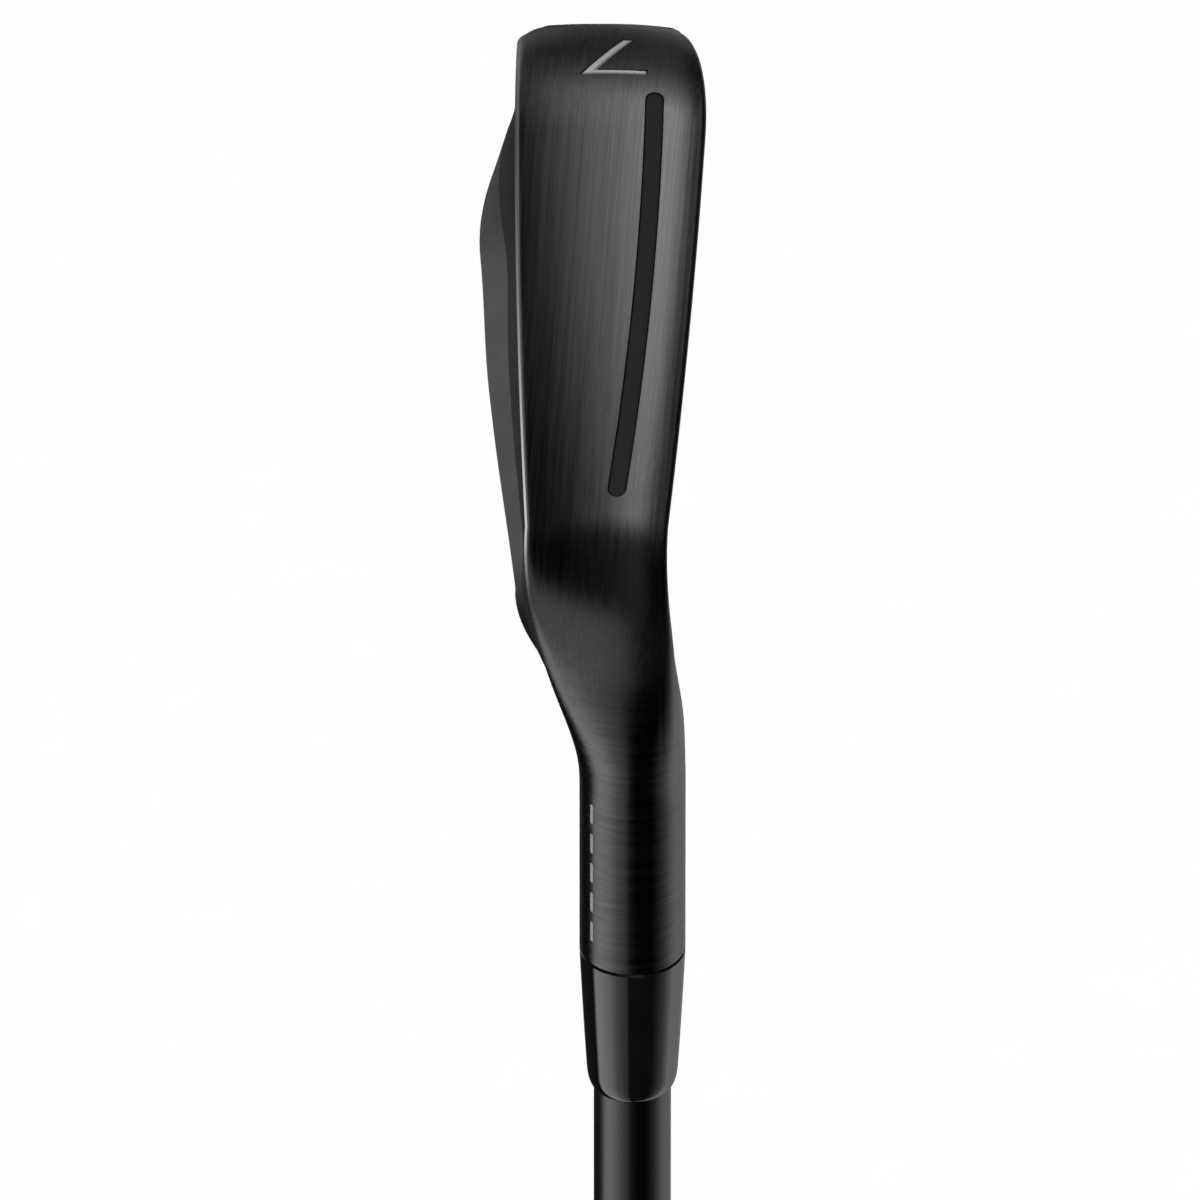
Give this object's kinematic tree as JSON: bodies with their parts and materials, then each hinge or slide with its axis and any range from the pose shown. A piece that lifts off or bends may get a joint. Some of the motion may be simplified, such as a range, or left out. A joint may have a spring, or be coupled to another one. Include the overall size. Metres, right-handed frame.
{
  "type": "iron golf club",
  "caption": "Right-handed hollow-bodied iron golf club with slotted wide sole, forged face, ferrule, stepped steel shaft and rubber grip.",
  "frame": {"origin": "centre of the flat on the butt of the grip, on the shaft axis", "axes": "+Z along the shaft axis from the butt to the head, +X the way the face looks, +Y towards the toe"},
  "size_m": [0.0385, 0.093, 0.9683],
  "materials": {
    "head_steel": "dark brushed physical-vapour coating",
    "face_steel": "fine dark satin with score lines",
    "slot_polymer": "matte",
    "silver_paint": "satin",
    "foam": "open foam",
    "tungsten": "sintered",
    "screw_steel": "black oxide",
    "ferrule_plastic": "gloss",
    "epoxy": "cured",
    "brass_plug": "turned",
    "shaft_steel": "dark satin",
    "band_film": "satin film",
    "tape": "plain",
    "grip_rubber": "matte moulded",
    "cap_rubber": "matte moulded"
  },
  "bodies": {
    "root": {"head_body": "head_steel", "face_plate": "face_steel", "sole_slot_insert": "slot_polymer", "number_paint": "silver_paint", "hosel_mark_paint": "silver_paint", "cavity_foam": "foam", "toe_weight": "tungsten", "fill_port_screw": "screw_steel", "ferrule": "ferrule_plastic", "hosel_epoxy": "epoxy", "tip_weight": "brass_plug", "shaft": "shaft_steel", "shaft_band": "band_film", "grip_tape": "tape", "grip_sleeve": "grip_rubber", "grip_end_cap": "cap_rubber"}
  },
  "joints": []
}
